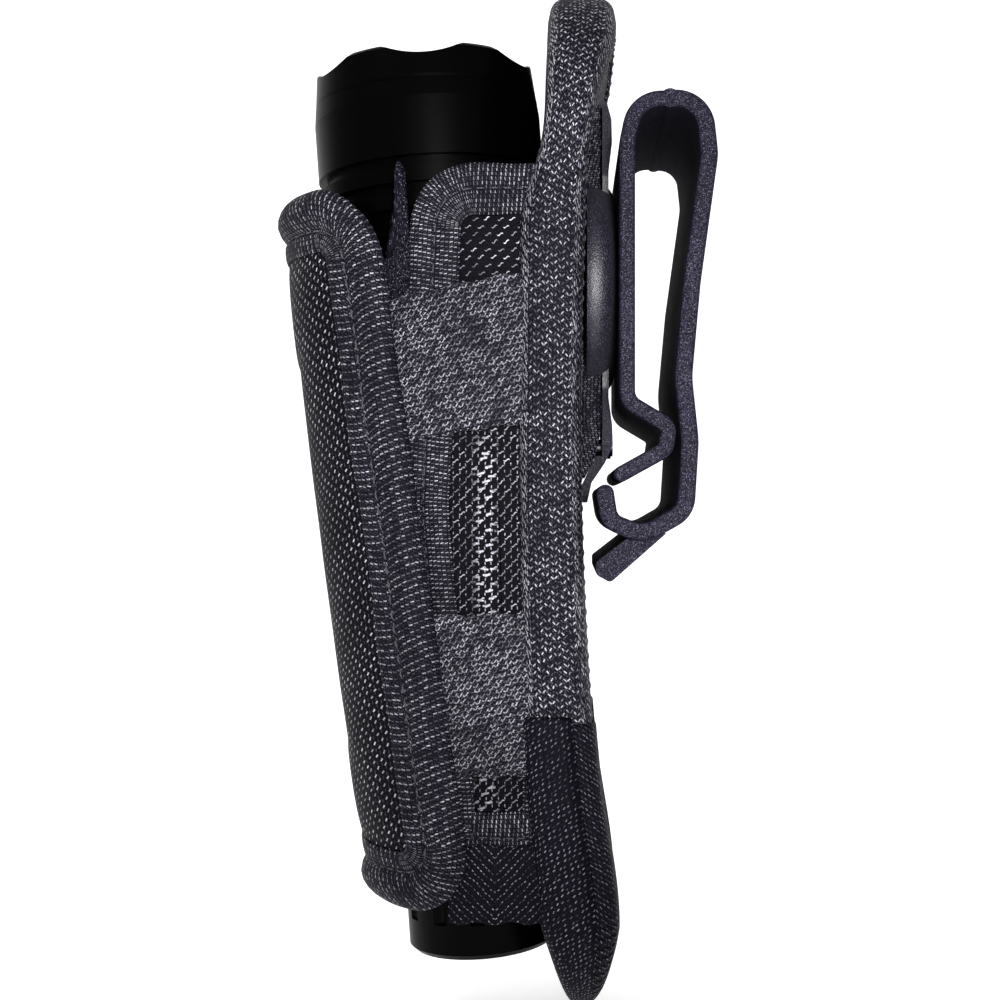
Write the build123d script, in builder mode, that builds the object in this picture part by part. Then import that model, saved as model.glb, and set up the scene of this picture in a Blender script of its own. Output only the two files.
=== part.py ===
"""A tactical flashlight carried head up in a padded duty holster with a swivelling belt clip.

All dimensions are in millimetres. The origin lies on the belt side of the clip's inner arm, on the axis
of the swivel. +X points from the holster to the belt side, +Z points up along the clip, and the holster's
left side faces -Y. The flashlight leans a few degrees away from the back panel.
"""

import os
from math import cos, radians, sin

from build123d import *

os.makedirs("parts", exist_ok=True)

# ------------------------------------------------------------------ driving dimensions: flashlight
LEAN = 4.0  # lean of the flashlight's axis, in degrees
TAIL_X = -25.9  # centre of the tail end
TAIL_Z = -116.1
LIGHT_LENGTH = 155.0
HEAD_RADIUS = 20.0
BEZEL_RADIUS = 19.1
BEZEL_HEIGHT = 6.0
SCALLOPS = 6
SCALLOP_DEPTH = 1.8
SCALLOP_WIDTH = 13.7
SCALLOP_TURN = 4.0  # turn of the scallops away from the holster's left side, in degrees
TUBE_RADIUS = 12.7
TUBE_BORE = 9.4
THREAD_RADIUS = 11.5
THREAD_GAP = 0.05
CAP_RADIUS = 13.3
CAP_LENGTH = 31.0
CELL_RADIUS = 9.2  # 18650 cell
CELL_LENGTH = 65.0
CELL_START = 29.5
NECK_START = 98.0  # where the head's collar begins
SHELF_START = 113.0
SHELF_END = 118.0
LENS_START = 147.5
WALL = 1.2

# ------------------------------------------------------------------ driving dimensions: holster
POCKET_RADIUS = 14.1  # inside radius of the pocket at the tail end
POCKET_GROWTH = 0.0585  # growth of that radius for each millimetre up the light
POCKET_DEPTH = 40.0
DRAW_CLEARANCE = 0.6  # free space round the light as it is drawn
WING_THICKNESS = 2.2
COVER_THICKNESS = 5.6
BAND_THICKNESS = 1.3
FRONT_TOP = 14.0
FRONT_BOTTOM = -107.0
FRONT_EDGE_X = -42.8  # rear edge of the front panel, at its top
FRONT_EDGE_SLOPE = 0.1363
PANEL_TOP = 51.0
PANEL_BOTTOM = -126.5
TONGUE_START = 20.0  # height where the panel's upper end starts to round
TIP_START = -103.0  # height where its lower end starts to round
PANEL_HALF_WIDTH = 27.0
PANEL_LOW_HALF_WIDTH = 19.5
PANEL_FRONT = -18.8
PANEL_REAR = -8.6
PANEL_FRONT_CURVE = [
    (-14.3, 60), (-14.3, 34), (-15.2, 21), (-18.4, 10), (PANEL_FRONT, -4), (PANEL_FRONT, -50), (-17.8, -78),
    (-15.4, -102), (-11.0, -135),
]
PANEL_REAR_CURVE = [
    (-3.3, 60), (-3.5, 40), (-6.0, 30), (-8.0, 19), (PANEL_REAR, 6), (PANEL_REAR, -52), (-6.4, -84),
    (-3.4, -106), (-4.4, -135),
]
BINDING_WIDTH = 8.0
STIFFENER_THICKNESS = 1.2
WING_TOP = 17.5
WING_BOTTOM = -95.5
WING_EDGE = 6.0  # width of the tape round a wing
WING_CORNER_X = -36.5
WING_UNDERLAP = 3.9  # how far a wing runs under the front panel at mid height
WING_LOW_UNDERLAP = 5.5
UPPER_BAND = ((-42.0, -5.2), (-9.0, 2.6), (-9.0, -22.6), (-42.0, -29.6))
LOWER_BAND = ((-42.0, -56.8), (-9.0, -56.0), (-9.0, -82.6), (-42.0, -84.6))

# ------------------------------------------------------------------ driving dimensions: clip
CLIP_WIDTH = 46.0
ARM_THICKNESS = 2.6
OUTER_THICKNESS = 2.9
CROWN_X = 5.7
CROWN_Z = 28.1
KNUCKLE_RADIUS = 1.55
KNUCKLE_GAP = 0.05
RIM_RADIUS = 0.6
DISC_RADIUS = 20.0
DISC_FRONT = -7.8
DISC_REAR = -3.4
PLATE_OUTLINE = [
    (-5.05, -25), (-6.2, -30), (-8.5, -34.8), (-8.5, -38.0), (-7.6, -38.0), (-6.9, -34.6), (-4.6, -31.2),
    (-3.6, -29.0), (-3.3, -27.0), (DISC_REAR, -24.5), (-4.0, -20), (-4.0, 20), (DISC_REAR, 24.0),
    (-3.5, 28.0), (-4.3, 31), (-5.4, 31), (-5.05, 18),
]
STRAP_HALF_WIDTH = 10.0
SCREW_RADIUS = 3.0
SCREW_HEAD_RADIUS = 4.6
NUT_RADIUS = 6.0
RIVET_RADIUS = 1.5

# ------------------------------------------------------------------ shared planes and forms
lean = radians(LEAN)
LIGHT = Plane(origin=(TAIL_X, 0, TAIL_Z), x_dir=(cos(lean), 0, sin(lean)), z_dir=(-sin(lean), 0, cos(lean)))
LIGHT_AXIS = Axis(LIGHT.origin, LIGHT.z_dir)
TURNING = Plane(LIGHT.origin, x_dir=LIGHT.x_dir, z_dir=LIGHT.y_dir * -1)
FAR = 300.0


def save(piece, label):
    """Labels one finished piece and writes its STEP file."""
    piece.part.label = label
    export_step(piece.part, f"parts/{label}.step")


def turn(*outline, mode=Mode.ADD):
    """Revolves a closed outline of (radius, height) points about the light's axis."""
    with BuildSketch(TURNING) as profile:
        with BuildLine():
            Polyline(*outline, close=True)
        make_face()
    revolve(profile.sketch, axis=LIGHT_AXIS, mode=mode)


def tube(inner, outer, low, high, mode=Mode.ADD):
    """A plain ring about the light's axis."""
    turn((inner, low), (outer, low), (outer, high), (inner, high), mode=mode)


def side_prism(*outline, mode=Mode.INTERSECT, half_width=60.0):
    """Extrudes an outline of (x, z) points across the holster's width."""
    with BuildSketch(Plane.XZ) as profile:
        with BuildLine():
            Polyline(*outline, close=True)
        make_face()
    extrude(profile.sketch, amount=half_width, both=True, mode=mode)


def pocket_form(grow, low=-12.0, high=140.0):
    """The pocket's inside: a round front and straight sides, widening towards the head."""
    with BuildPart() as form:
        for height in (low, high):
            radius = POCKET_RADIUS + POCKET_GROWTH * height + grow
            with BuildSketch(LIGHT.offset(height)):
                with BuildLine():
                    CenterArc((0, 0), radius, 90, 180)
                    Polyline((0, -radius), (POCKET_DEPTH, -radius), (POCKET_DEPTH, radius), (0, radius))
                make_face()
        loft(ruled=True)
    return form.part


def light_space():
    """The space that the flashlight takes up at rest and as it is drawn upwards."""
    body = CAP_RADIUS + DRAW_CLEARANCE
    head = HEAD_RADIUS + DRAW_CLEARANCE
    with BuildPart() as space:
        turn((0, -25), (body, -25), (body, 92), (head, 110), (head, 330), (0, 330))
    return space.part


def panel_outline(inset):
    """The back panel seen from behind: a rounded tongue above, narrowing to a rounded tip below."""
    upper = PANEL_HALF_WIDTH - inset
    lower = PANEL_LOW_HALF_WIDTH - inset
    top = PANEL_TOP - inset
    bottom = PANEL_BOTTOM + inset
    with BuildSketch(Plane.YZ) as outline:
        with BuildLine():
            ThreePointArc((-upper, TONGUE_START), (0, top), (upper, TONGUE_START))
            Line((upper, TONGUE_START), (lower, TIP_START))
            ThreePointArc((lower, TIP_START), (0, bottom), (-lower, TIP_START))
            Line((-lower, TIP_START), (-upper, TONGUE_START))
        make_face()
    return outline.sketch


def panel_slab(front_inset, rear_inset, outline):
    """A layer of the back panel: upright in the middle, with both ends bent towards the belt."""
    with BuildPart() as slab:
        with BuildSketch(Plane.XZ):
            with BuildLine():
                front = Spline(*[(x + front_inset, z) for x, z in PANEL_FRONT_CURVE])
                rear = Spline(*[(x - rear_inset, z) for x, z in PANEL_REAR_CURVE])
                Line(front @ 0, rear @ 0)
                Line(front @ 1, rear @ 1)
            make_face()
        extrude(amount=40, both=True)
        extrude(outline, amount=60, both=True, mode=Mode.INTERSECT)
        add(light_space(), mode=Mode.SUBTRACT)
    return slab.part


def front_edge(z):
    """Where the front panel's rear edge lies at height z, seen from the side."""
    return FRONT_EDGE_X + (FRONT_TOP - z) * FRONT_EDGE_SLOPE


def rear_ring(inner, outer, low, high, mode=Mode.ADD):
    """A ring about the swivel's axis, between two X positions."""
    with BuildSketch(Plane.YZ.offset(low)) as ring:
        Circle(outer)
        if inner:
            Circle(inner, mode=Mode.SUBTRACT)
    extrude(ring.sketch, amount=high - low, mode=mode)


FULL_PANEL = panel_slab(0.0, 0.0, panel_outline(0.0))
RIVET_PLACES = [(-6.0, 25.0), (6.0, 25.0), (-6.0, -28.5), (6.0, -28.5)]


def rivet_holes():
    """Rivet holes from the base plate through to the stiffener, all on lines along X."""
    with BuildSketch(Plane.YZ.offset(-40)) as holes:
        with Locations(*RIVET_PLACES):
            Circle(RIVET_RADIUS)
    extrude(holes.sketch, amount=50, mode=Mode.SUBTRACT)


# ------------------------------------------------------------------ flashlight: head
bezel_start = LIGHT_LENGTH - BEZEL_HEIGHT
with BuildPart() as bezel_ring:
    turn(
        (15.6, bezel_start + 2.6), (17.6, bezel_start + 2.6), (17.6, bezel_start - 5), (18.4, bezel_start - 5),
        (18.4, bezel_start), (BEZEL_RADIUS + 0.5, bezel_start), (BEZEL_RADIUS + 0.5, bezel_start + 0.6),
        (BEZEL_RADIUS, LIGHT_LENGTH - 0.5), (BEZEL_RADIUS - 0.5, LIGHT_LENGTH), (17.0, LIGHT_LENGTH),
    )
    scallop_radius = (SCALLOP_WIDTH**2 / 4 + SCALLOP_DEPTH**2) / (2 * SCALLOP_DEPTH)
    scallop_height = LIGHT_LENGTH - SCALLOP_DEPTH + scallop_radius
    for index in range(SCALLOPS // 2):
        azimuth = radians(-90 + SCALLOP_TURN + index * 360 / SCALLOPS)
        radial = LIGHT.x_dir * cos(azimuth) + LIGHT.y_dir * sin(azimuth)
        centre = LIGHT.origin + LIGHT.z_dir * scallop_height
        with BuildSketch(Plane(centre, x_dir=LIGHT.z_dir, z_dir=radial)) as scallop:
            Circle(scallop_radius)
        extrude(scallop.sketch, amount=30, both=True, mode=Mode.SUBTRACT)
save(bezel_ring, "bezel_ring")

with BuildPart() as lens:
    tube(0, 17.3, LENS_START + 2, LENS_START + 4.1)
save(lens, "lens")

with BuildPart() as lens_gasket:
    tube(16.4, 17.3, LENS_START + 1.0, LENS_START + 2)
save(lens_gasket, "lens_gasket")

with BuildPart() as head_housing:
    turn(
        (THREAD_RADIUS + THREAD_GAP, NECK_START), (14.2, NECK_START), (14.9, NECK_START + 0.7), (14.9, 104),
        (19.4, 116), (HEAD_RADIUS, 118), (HEAD_RADIUS, 146), (BEZEL_RADIUS + 0.6, bezel_start - 0.1),
        (18.45, bezel_start - 0.1), (18.45, bezel_start - 5.2), (17.4, bezel_start - 5.2),
        (17.4, SHELF_END), (10.6, SHELF_END), (10.6, SHELF_END - 0.6), (2.0, SHELF_END - 0.6),
        (2.0, SHELF_START), (10.6, SHELF_START), (10.6, 106.2), (THREAD_RADIUS + THREAD_GAP, 106.2),
    )
    tube(0, 2.2, SHELF_START, SHELF_END - 0.6)
    for groove in range(4):
        low = 121.0 + groove * 4.4
        tube(HEAD_RADIUS - 1.5, HEAD_RADIUS + 1, low, low + 2.0, mode=Mode.SUBTRACT)
    for side in (-1, 1):
        with BuildSketch(LIGHT.offset(SHELF_START - 1)) as wire_hole:
            with Locations((side * 6.0, 0)):
                Circle(1.2)
        extrude(wire_hole.sketch, amount=8, mode=Mode.SUBTRACT)
save(head_housing, "head_housing")

with BuildPart() as led_board:
    tube(0, 9.8, SHELF_END - 0.6, SHELF_END + 1.0)
save(led_board, "led_board")

with BuildPart() as led_emitter:
    with BuildSketch(LIGHT.offset(SHELF_END + 1.0)):
        Rectangle(5.0, 5.0)
    extrude(amount=0.9)
    turn((0, SHELF_END + 1.9), (2.0, SHELF_END + 1.9), (1.7, SHELF_END + 2.8), (1.0, SHELF_END + 3.4),
         (0, SHELF_END + 3.6))
save(led_emitter, "led_emitter")

with BuildPart() as centering_ring:
    tube(3.7, 7.4, SHELF_END + 1.0, SHELF_END + 2.2)
save(centering_ring, "centering_ring")

with BuildPart() as reflector:
    focal = (16.9**2 - 3.8**2) / (LENS_START - SHELF_END - 2.2)
    steps = 8
    inside = []
    for step in range(steps + 1):
        radius = 3.8 + (16.2 - 3.8) * step / steps
        inside.append((radius, SHELF_END + 2.2 + (radius**2 - 3.8**2) / focal))
    outside = [(radius + WALL, height) for radius, height in reversed(inside)]
    turn(*inside, (16.2, LENS_START + 1.0), (17.3, LENS_START + 1.0), (17.3, LENS_START - 1.2), *outside[1:])
save(reflector, "reflector")

with BuildPart() as driver_board:
    tube(0, 10.5, SHELF_START - 5.2, SHELF_START - 3.7)
    tube(0, 4.0, SHELF_START - 3.7, SHELF_START - 1.2)
save(driver_board, "driver_board")

with BuildPart() as driver_ring:
    tube(7.6, 10.5, 106.3, SHELF_START - 5.2)
save(driver_ring, "driver_ring")

with BuildPart() as led_leads:
    for side in (-1, 1):
        with BuildSketch(LIGHT.offset(SHELF_START - 3.7)) as lead:
            with Locations((side * 6.0, 0)):
                Circle(0.7)
        extrude(lead.sketch, amount=8.1 - SHELF_END + SHELF_START)
save(led_leads, "led_leads")


def coil(radius, wire, low, high, turns):
    """A coil spring about the light's axis."""
    pitch = (high - low - wire) / turns
    with BuildLine(LIGHT.offset(low + wire / 2)) as path:
        Helix(pitch=pitch, height=pitch * turns, radius=radius)
    with BuildSketch(Plane(origin=path.line @ 0, z_dir=path.line % 0)) as section:
        Circle(wire / 2)
    return sweep(section.sketch, path=path.line, is_frenet=True, mode=Mode.PRIVATE)


with BuildPart() as front_spring:
    add(coil(3.0, 0.9, CELL_START + CELL_LENGTH + 1.2, 107.6, 4))
save(front_spring, "front_spring")

# ------------------------------------------------------------------ flashlight: body
with BuildPart() as body_tube:
    tube(TUBE_BORE, TUBE_RADIUS, CAP_LENGTH + 0.1, NECK_START - 0.1)
    tube(TUBE_BORE, THREAD_RADIUS, 22, CAP_LENGTH + 0.1)
    tube(TUBE_BORE, THREAD_RADIUS, NECK_START - 0.1, 106)
    for groove in (CAP_LENGTH - 2.4, NECK_START + 1.0):
        tube(THREAD_RADIUS - 0.9, THREAD_RADIUS + 1, groove, groove + 1.4, mode=Mode.SUBTRACT)
save(body_tube, "body_tube")

for name, groove in (("tail_o_ring", CAP_LENGTH - 2.4), ("head_o_ring", NECK_START + 1.0)):
    with BuildPart() as o_ring:
        tube(THREAD_RADIUS - 0.9, THREAD_RADIUS, groove + 0.1, groove + 1.3)
        chamfer(o_ring.edges().filter_by(GeomType.CIRCLE), length=0.2)
    save(o_ring, name)

with BuildPart() as battery_cell:
    tube(0, CELL_RADIUS, CELL_START, CELL_START + CELL_LENGTH - 0.8)
    tube(0, CELL_RADIUS - 1.6, CELL_START + CELL_LENGTH - 0.8, CELL_START + CELL_LENGTH - 0.3)
save(battery_cell, "battery_cell")

with BuildPart() as battery_terminal:
    tube(0, 3.2, CELL_START + CELL_LENGTH - 0.3, CELL_START + CELL_LENGTH + 1.0)
save(battery_terminal, "battery_terminal")

# ------------------------------------------------------------------ flashlight: tail cap and switch
with BuildPart() as tail_cap:
    turn(
        (8.0, 0), (CAP_RADIUS - 0.9, 0), (CAP_RADIUS, 0.9), (CAP_RADIUS, CAP_LENGTH - 0.8),
        (CAP_RADIUS - 0.8, CAP_LENGTH), (THREAD_RADIUS + THREAD_GAP, CAP_LENGTH),
        (THREAD_RADIUS + THREAD_GAP, 21.0), (10.9, 21.0), (10.9, 3.2), (8.0, 3.2),
    )
    for notch in range(12):
        with BuildSketch(LIGHT.offset(6)) as flute:
            with Locations(Location((0, 0, 0), (0, 0, 30 * notch))):
                with Locations((CAP_RADIUS + 0.9, 0)):
                    Circle(1.6)
        extrude(flute.sketch, amount=18, mode=Mode.SUBTRACT)
save(tail_cap, "tail_cap")

with BuildPart() as button_boot:
    turn((0, 0.5), (4.0, 0.7), (6.4, 1.4), (7.7, 2.6), (7.7, 3.25), (10.0, 3.25), (10.0, 4.1), (6.6, 4.1),
         (5.6, 2.7), (3.6, 2.0), (0, 1.9))
save(button_boot, "button_boot")

with BuildPart() as switch_plunger:
    turn((0, 1.95), (3.4, 2.1), (3.4, 5.2), (2.0, 5.2), (2.0, 9.6), (0, 9.6))
save(switch_plunger, "switch_plunger")

with BuildPart() as switch_body:
    turn((2.1, 7.4), (8.0, 7.4), (8.0, 15.6), (0, 15.6), (0, 11.8), (2.1, 11.8))
save(switch_body, "switch_body")

with BuildPart() as switch_ring:
    tube(8.05, 10.85, 12.6, 15.6)
save(switch_ring, "switch_ring")

with BuildPart() as switch_board:
    tube(0, 10.4, 15.6, 16.8)
save(switch_board, "switch_board")

with BuildPart() as tail_spring:
    add(coil(5.0, 1.1, 17.1, CELL_START - 0.3, 4))
save(tail_spring, "tail_spring")

# ------------------------------------------------------------------ holster: back panel
with BuildPart() as back_stiffener:
    with BuildSketch(Plane.YZ.offset(-11.6)) as board:
        with Locations((0, -25)):
            RectangleRounded(2 * (PANEL_LOW_HALF_WIDTH - 7), 86, 8)
    extrude(board.sketch, amount=STIFFENER_THICKNESS)
    rivet_holes()
save(back_stiffener, "back_stiffener")

with BuildPart() as back_pad:
    add(panel_slab(1.3, 0.8, panel_outline(BINDING_WIDTH)))
    add(back_stiffener.part, mode=Mode.SUBTRACT)
    rivet_holes()
save(back_pad, "back_pad")

with BuildPart() as back_lining:
    add(panel_slab(0.3, 0.0, panel_outline(BINDING_WIDTH)))
    add(panel_slab(1.3, -4.0, panel_outline(BINDING_WIDTH - 2)), mode=Mode.SUBTRACT)
save(back_lining, "back_lining")

with BuildPart() as back_cover:
    add(panel_slab(0.0, 0.1, panel_outline(BINDING_WIDTH)))
    add(panel_slab(-4.0, 0.8, panel_outline(BINDING_WIDTH - 2)), mode=Mode.SUBTRACT)
    rivet_holes()
save(back_cover, "back_cover")

with BuildPart() as back_binding:
    add(FULL_PANEL)
    extrude(panel_outline(BINDING_WIDTH), amount=60, both=True, mode=Mode.SUBTRACT)
save(back_binding, "back_binding")

# ------------------------------------------------------------------ holster: front panel
def front_outline(inset):
    """The front panel seen from the side, with rounded rear corners."""
    top = (front_edge(FRONT_TOP) - inset, FRONT_TOP - inset)
    low = (front_edge(FRONT_BOTTOM) - inset, FRONT_BOTTOM + inset)
    with BuildSketch(Plane.XZ) as outline:
        with BuildLine():
            Polyline((-90, top[1]), top, low, (-90, low[1]), close=True)
        make_face()
        corners = outline.vertices().sort_by(Axis.X)[-2:]
        fillet(corners, radius=12 - inset)
    return outline.sketch


with BuildPart() as front_pad:
    add(pocket_form(2.3))
    add(pocket_form(0.1), mode=Mode.SUBTRACT)
    extrude(front_outline(6.0), amount=60, both=True, mode=Mode.INTERSECT)
save(front_pad, "front_pad")

with BuildPart() as front_cover:
    add(pocket_form(COVER_THICKNESS))
    add(pocket_form(2.4), mode=Mode.SUBTRACT)
    extrude(front_outline(6.0), amount=60, both=True, mode=Mode.INTERSECT)
save(front_cover, "front_cover")

with BuildPart() as front_binding:
    add(pocket_form(COVER_THICKNESS))
    add(pocket_form(2.4), mode=Mode.SUBTRACT)
    extrude(front_outline(0.0), amount=60, both=True, mode=Mode.INTERSECT)
    extrude(front_outline(6.0), amount=60, both=True, mode=Mode.SUBTRACT)
save(front_binding, "front_binding")

# ------------------------------------------------------------------ holster: sides

def side_layer(inner, outer, low, high, ahead=0.0):
    """One layer of the pocket's sides, from ahead of the front panel's edge back to the back panel."""
    with BuildPart() as layer:
        add(pocket_form(outer))
        add(pocket_form(inner), mode=Mode.SUBTRACT)
        side_prism((front_edge(high) - ahead, high), (-9, high), (-9, low), (front_edge(low) - ahead, low))
        add(FULL_PANEL, mode=Mode.SUBTRACT)
    return layer.part


def wing_outline(inset):
    """A side wing seen from the side, with a rounded upper front corner."""
    with BuildSketch(Plane.XZ) as outline:
        with BuildLine():
            Polyline(
                (-9, WING_TOP - inset), (WING_CORNER_X + inset, WING_TOP - inset),
                (front_edge(-40) - WING_UNDERLAP + inset, -40),
                (front_edge(WING_BOTTOM) - WING_LOW_UNDERLAP + inset, WING_BOTTOM + inset),
                (-9, WING_BOTTOM + inset), close=True
            )
        make_face()
        corner = outline.vertices().sort_by(Axis.Y)[-2:].sort_by(Axis.X)[0]
        fillet(corner, radius=11 - inset)
    return outline.sketch


def both_sides(shape, label):
    """Splits a layer at the middle plane and saves its left and right halves as separate nodes."""
    for side, name in ((-1, "left"), (1, "right")):
        with BuildPart() as half:
            add(shape)
            with BuildSketch(Plane.XY.offset(-FAR)) as keep:
                with Locations((0, side * FAR / 2)):
                    Rectangle(2 * FAR, FAR)
            extrude(keep.sketch, amount=2 * FAR, mode=Mode.INTERSECT)
        save(half, f"{label}_{name}")


wing_layer = side_layer(0.0, WING_THICKNESS, WING_BOTTOM, WING_TOP, ahead=6)
with BuildPart() as wings:
    add(wing_layer)
    extrude(wing_outline(WING_EDGE), amount=60, both=True, mode=Mode.INTERSECT)
both_sides(wings.part, "side_wing")

with BuildPart() as wing_bindings:
    add(wing_layer)
    extrude(wing_outline(0.0), amount=60, both=True, mode=Mode.INTERSECT)
    extrude(wing_outline(WING_EDGE), amount=60, both=True, mode=Mode.SUBTRACT)
both_sides(wing_bindings.part, "wing_binding")

band_inner = WING_THICKNESS + 0.05
band_outer = band_inner + BAND_THICKNESS
for outline, label in ((UPPER_BAND, "upper_elastic"), (LOWER_BAND, "lower_elastic")):
    with BuildPart() as bands:
        add(side_layer(band_inner, band_outer, outline[3][1], outline[1][1]))
        side_prism(*outline)
    both_sides(bands.part, label)

cup_layer = side_layer(0.0, WING_THICKNESS, FRONT_BOTTOM - 2.0, WING_BOTTOM - 0.5, ahead=1.5)
both_sides(cup_layer, "bottom_strap")

# ------------------------------------------------------------------ holster: swivel base
with BuildPart() as rear_strap:
    side_prism((-12, -34.5), (-8.6, -34.5), (-6.25, -30), (-5.1, -25), (-5.1, 18), (-5.45, 31), (-12, 31),
               mode=Mode.ADD, half_width=STRAP_HALF_WIDTH)
    add(FULL_PANEL, mode=Mode.SUBTRACT)
    rear_ring(0, NUT_RADIUS, -12, 0, mode=Mode.SUBTRACT)
    rivet_holes()
save(rear_strap, "rear_strap")

with BuildPart() as swivel_base:
    side_prism(*PLATE_OUTLINE, mode=Mode.ADD, half_width=STRAP_HALF_WIDTH)
    for side in (-1, 1):
        with BuildSketch(Plane.YZ.offset(-20)) as taper:
            with BuildLine():
                Polyline((side * 10.1, -27.0), (side * 8.0, -33.5), (side * 5.0, -38.5),
                         (side * 11.0, -38.5), close=True)
            make_face()
        extrude(taper.sketch, amount=20, mode=Mode.SUBTRACT)
    with BuildSketch(Plane.XZ) as rim:
        with BuildLine():
            crest = Polyline((DISC_FRONT, DISC_RADIUS - 1.2), (DISC_FRONT, 0), (DISC_REAR, 0),
                             (DISC_REAR, DISC_RADIUS - 7.0))
            ThreePointArc(crest @ 1, (DISC_REAR - 1.5, DISC_RADIUS - 1.4), crest @ 0)
        make_face()
    revolve(rim.sketch, axis=Axis.X)
    with BuildSketch(Plane.YZ.offset(-12)) as channel:
        Rectangle(2 * STRAP_HALF_WIDTH, 60)
    extrude(channel.sketch, amount=12 - 5.1, mode=Mode.SUBTRACT)
    rear_ring(0, SCREW_RADIUS, -12, 0, mode=Mode.SUBTRACT)
    rear_ring(0, 8.05, DISC_REAR - 0.4, 0, mode=Mode.SUBTRACT)
    rivet_holes()
save(swivel_base, "swivel_base")

with BuildPart() as swivel_washer:
    rear_ring(SCREW_RADIUS + 0.2, 8.0, DISC_REAR - 0.4, -ARM_THICKNESS - 0.02)
save(swivel_washer, "swivel_washer")

with BuildPart() as pivot_nut:
    rear_ring(SCREW_RADIUS, NUT_RADIUS, PANEL_REAR + 0.05, -5.1)
save(pivot_nut, "pivot_nut")

with BuildPart() as pivot_screw:
    rear_ring(0, SCREW_RADIUS, PANEL_REAR + 0.05, -1.4)
    rear_ring(0, SCREW_HEAD_RADIUS, -1.4, -0.15)
    with BuildSketch(Plane.YZ.offset(-0.9)) as drive:
        Rectangle(6.4, 1.1)
        Rectangle(1.1, 6.4)
    extrude(drive.sketch, amount=2, mode=Mode.SUBTRACT)
save(pivot_screw, "pivot_screw")

with BuildPart() as base_rivets:
    for place in RIVET_PLACES:
        seat = -4.3 if place[1] > 0 else -4.0
        with BuildSketch(Plane.YZ.offset(-11.6)) as shank:
            with Locations(place):
                Circle(RIVET_RADIUS)
        extrude(shank.sketch, amount=seat + 11.6 + 0.8)
save(base_rivets, "base_rivets")

# ------------------------------------------------------------------ clip
half_arm = ARM_THICKNESS / 2
INNER_PATH = [
    (CROWN_X, CROWN_Z), (0.2, CROWN_Z), (-half_arm, 21.0), (-half_arm, -21.5), (5.6, -25.6), (5.0, -29.4),
    (-2.2, -33.4),
]
INNER_BENDS = [5.0, 6.0, 3.0, 1.9, 1.9]
OUTER_PATH = [
    (CROWN_X, CROWN_Z), (11.2, CROWN_Z), (12.2, 19.0), (9.3, -2.0), (7.9, -17.6), (9.0, -28.0), (8.3, -39.5),
    (1.4, -43.4), (-4.2, -41.2), (-4.9, -36.6),
]
OUTER_BENDS = [5.0, 8.0, 12.0, 14.0, 14.0, 4.0, 5.0, 3.0]
LEVER_OUTLINE = [(-0.2, -43.2), (5.2, -43.2), (-4.0, -51.3), (-6.4, -50.0), (-6.4, -48.0)]
LEVER_INSET = 2.0


def strip(radius, *path, fillets):
    """A strip of even thickness along a rounded path in the XZ plane, with soft rims, as wide as the clip."""
    with BuildPart() as arm:
        with BuildSketch(Plane.XZ):
            with BuildLine():
                FilletPolyline(*path, radius=fillets)
                offset(amount=radius, side=Side.BOTH)
            make_face()
        extrude(amount=CLIP_WIDTH / 2, both=True)
        fillet(arm.faces().filter_by(Axis.Y).edges(), radius=RIM_RADIUS)
    return arm.part


with BuildPart() as clip_inner:
    add(strip(half_arm, *INNER_PATH, fillets=INNER_BENDS))
    side_prism((CROWN_X, 10), (40, 10), (40, 40), (CROWN_X, 40), mode=Mode.SUBTRACT)
    with BuildSketch(Plane.XZ) as socket:
        with Locations((CROWN_X, CROWN_Z)):
            Circle(KNUCKLE_RADIUS + KNUCKLE_GAP)
    extrude(socket.sketch, amount=60, both=True, mode=Mode.SUBTRACT)
    rear_ring(0, SCREW_RADIUS + KNUCKLE_GAP, -4, 4, mode=Mode.SUBTRACT)
    rear_ring(0, SCREW_HEAD_RADIUS + 0.1, -1.48, 4, mode=Mode.SUBTRACT)
save(clip_inner, "clip_inner")

with BuildPart() as clip_outer:
    add(strip(OUTER_THICKNESS / 2, *OUTER_PATH, fillets=OUTER_BENDS))
    with BuildSketch(Plane.XZ) as knuckle:
        with Locations((CROWN_X, CROWN_Z)):
            Circle(KNUCKLE_RADIUS)
    extrude(knuckle.sketch, amount=CLIP_WIDTH / 2, both=True)
    with BuildSketch(Plane.XZ) as lever:
        with BuildLine():
            Polyline(*LEVER_OUTLINE, close=True)
        make_face()
        fillet(lever.vertices().sort_by(Axis.X)[:3], radius=0.8)
    extrude(lever.sketch, amount=CLIP_WIDTH / 2 - LEVER_INSET, both=True)
save(clip_outer, "clip_outer")
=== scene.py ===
"""A tactical flashlight in a padded duty holster with a swivelling belt clip: the visual model."""
import math

import bmesh
import bpy
import numpy as np
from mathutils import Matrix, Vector, kdtree


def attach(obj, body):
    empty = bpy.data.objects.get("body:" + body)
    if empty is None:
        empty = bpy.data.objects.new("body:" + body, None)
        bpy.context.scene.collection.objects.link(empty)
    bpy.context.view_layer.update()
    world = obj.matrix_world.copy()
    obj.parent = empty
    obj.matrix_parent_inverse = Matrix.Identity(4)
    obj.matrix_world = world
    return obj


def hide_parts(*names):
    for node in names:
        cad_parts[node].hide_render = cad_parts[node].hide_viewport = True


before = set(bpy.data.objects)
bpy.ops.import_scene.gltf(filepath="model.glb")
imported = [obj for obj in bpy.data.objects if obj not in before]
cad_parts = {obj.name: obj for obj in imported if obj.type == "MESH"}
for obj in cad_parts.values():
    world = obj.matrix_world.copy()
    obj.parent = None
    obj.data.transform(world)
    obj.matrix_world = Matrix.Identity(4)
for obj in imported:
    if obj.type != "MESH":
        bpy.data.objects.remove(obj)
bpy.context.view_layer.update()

# Lengths are in millimetres up to the mesh builder, which turns them into metres.
MM = 0.001
LEAN = math.radians(4.0)  # of the light and its pocket
TAIL = np.array((-25.9, 0.0, -116.1))  # where the light's axis ends
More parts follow.
